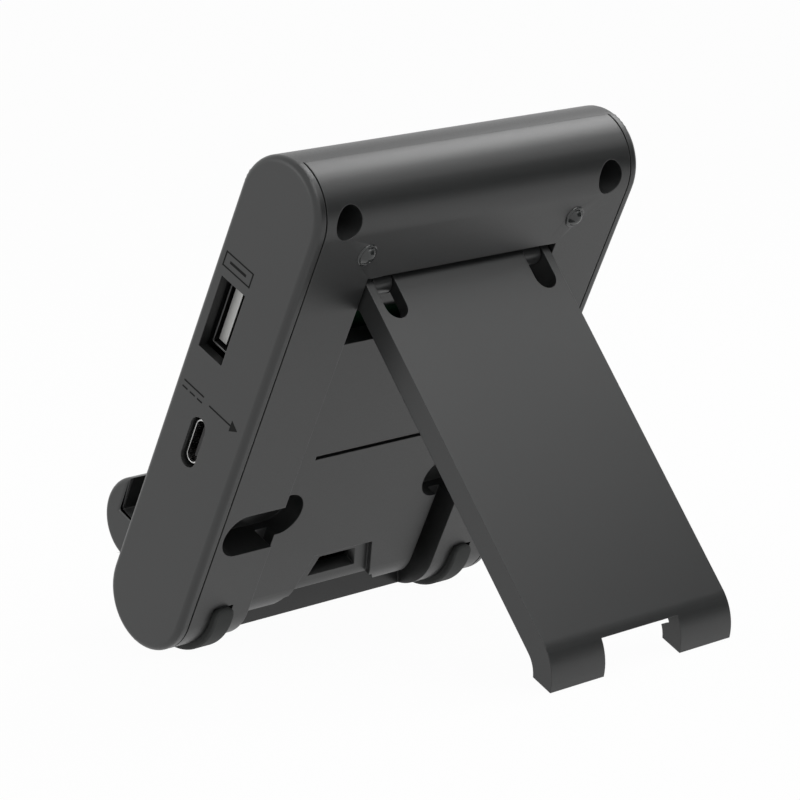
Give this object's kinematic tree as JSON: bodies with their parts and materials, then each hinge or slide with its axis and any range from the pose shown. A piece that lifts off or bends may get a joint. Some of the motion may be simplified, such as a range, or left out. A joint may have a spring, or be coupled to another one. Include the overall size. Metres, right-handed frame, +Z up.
{
  "type": "handheld console stand",
  "caption": "Folding tabletop dock for a handheld console: slim slab body with a cradle and plug in front, ports in one end and a hinged kickstand behind.",
  "frame": {"origin": "middle of the bounding box at ground level, with the stand opened on its kickstand", "axes": "+X along the body's width towards the end wall with the ports, +Y from the cradle to the kickstand, +Z up"},
  "size_m": [0.08, 0.111, 0.092],
  "materials": {
    "shell_plastic": "fine grained",
    "kickstand_plastic": "fine grained",
    "foot_rubber": "matte",
    "pin_steel": "satin",
    "screw_steel": "blackened",
    "connector_steel": "satin",
    "connector_plastic": "smooth",
    "board_laminate": "lacquered",
    "cable_film": "smooth"
  },
  "bodies": {
    "stand": {"front_shell": "shell_plastic", "rear_cover": "shell_plastic", "hinge_pin": "pin_steel", "foot_left": "foot_rubber", "foot_right": "foot_rubber", "cradle": "shell_plastic", "cradle_base": "shell_plastic", "cradle_pad": "foot_rubber", "cradle_screws": "screw_steel", "base_screws": "screw_steel", "plug_shell": "connector_steel", "plug_body": "connector_plastic", "plug_board": "board_laminate", "plug_cable": "cable_film", "rest_pads": "foot_rubber", "usb_shell": "connector_steel", "usb_tongue": "connector_plastic", "power_shell": "connector_steel", "power_tongue": "connector_plastic", "main_board": "board_laminate", "hub_chip": "connector_plastic", "board_screws": "screw_steel", "case_screws": "screw_steel"},
    "leg": {"kickstand": "kickstand_plastic"}
  },
  "joints": [
    {"name": "kickstand_hinge", "type": "hinge", "parent": "stand", "child": "leg", "pos_m": [0, 0.01498, 0.06724], "axis": [-1, 0, 0], "range_deg": [0, 63.3]}
  ]
}
